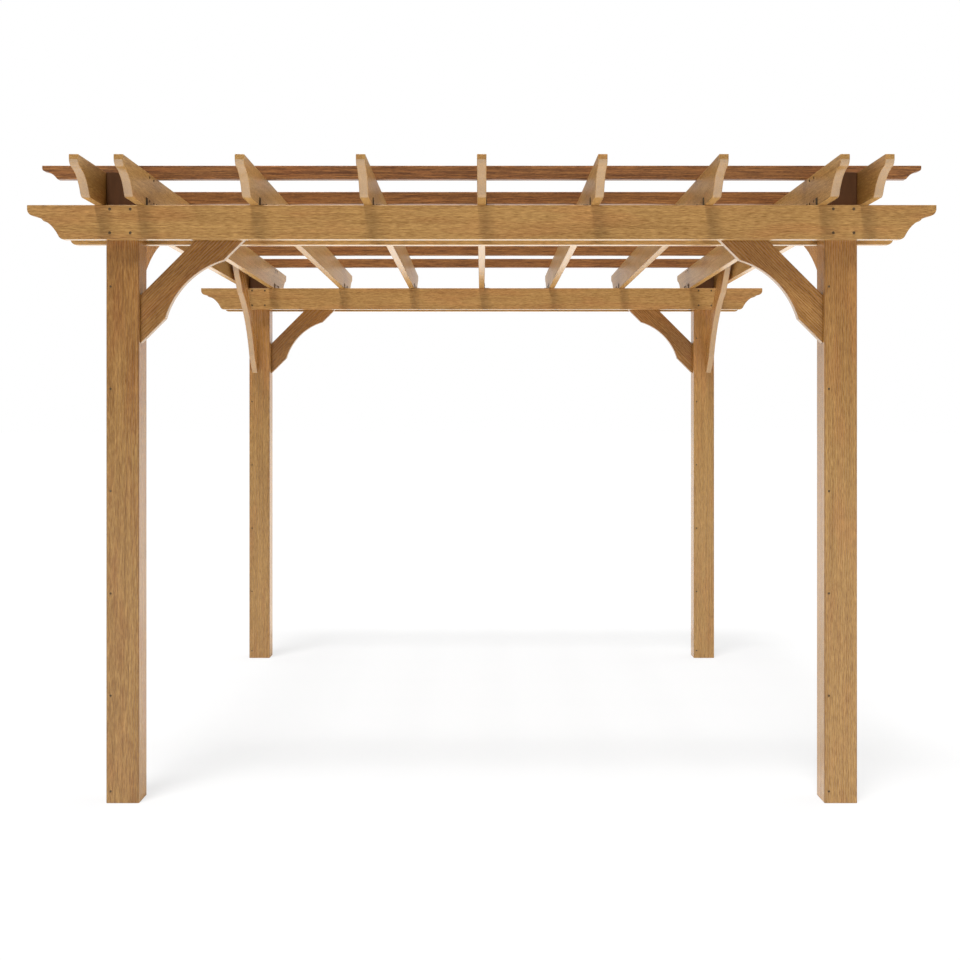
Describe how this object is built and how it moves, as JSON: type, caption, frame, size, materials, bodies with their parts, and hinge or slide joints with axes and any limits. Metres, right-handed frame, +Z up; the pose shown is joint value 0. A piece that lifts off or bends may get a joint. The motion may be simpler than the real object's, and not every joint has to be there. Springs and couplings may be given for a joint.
{
  "type": "pergola",
  "caption": "Free-standing timber pergola with paired beams and rafters round its posts, purlins on top, coved board ends and hollowed knee braces.",
  "frame": {"origin": "middle of the plan, on the ground under the post feet", "axes": "+X along the beams, +Y from the front pair of posts to the back pair, +Z up"},
  "size_m": [3.66, 3.704, 2.612],
  "materials": {
    "post_timber": "oiled, fine sawn grain",
    "board_timber": "oiled, planed, grain along the board",
    "purlin_timber": "oiled, planed, a browner board",
    "brace_timber": "oiled, planed, grain along the brace",
    "bracket_steel": "dark satin coat"
  },
  "bodies": {
    "root": {"post_front_left": "post_timber", "post_front_right": "post_timber", "post_back_left": "post_timber", "post_back_right": "post_timber", "beam_front_outer": "board_timber", "beam_front_inner": "board_timber", "beam_back_inner": "board_timber", "beam_back_outer": "board_timber", "rafter_1": "board_timber", "rafter_2": "board_timber", "rafter_3": "board_timber", "rafter_4": "board_timber", "rafter_5": "board_timber", "rafter_6": "board_timber", "rafter_7": "board_timber", "rafter_8": "board_timber", "rafter_9": "board_timber", "purlin_1": "purlin_timber", "purlin_2": "purlin_timber", "purlin_3": "purlin_timber", "purlin_4": "purlin_timber", "purlin_5": "purlin_timber", "purlin_6": "purlin_timber", "cross_brace_front_left": "brace_timber", "cross_brace_front_right": "brace_timber", "cross_brace_back_left": "brace_timber", "cross_brace_back_right": "brace_timber", "side_brace_front_left": "brace_timber", "side_brace_front_right": "brace_timber", "side_brace_back_left": "brace_timber", "side_brace_back_right": "brace_timber", "brackets_front_outer": "bracket_steel", "brackets_front_inner": "bracket_steel", "brackets_back_inner": "bracket_steel", "brackets_back_outer": "bracket_steel"}
  },
  "joints": []
}
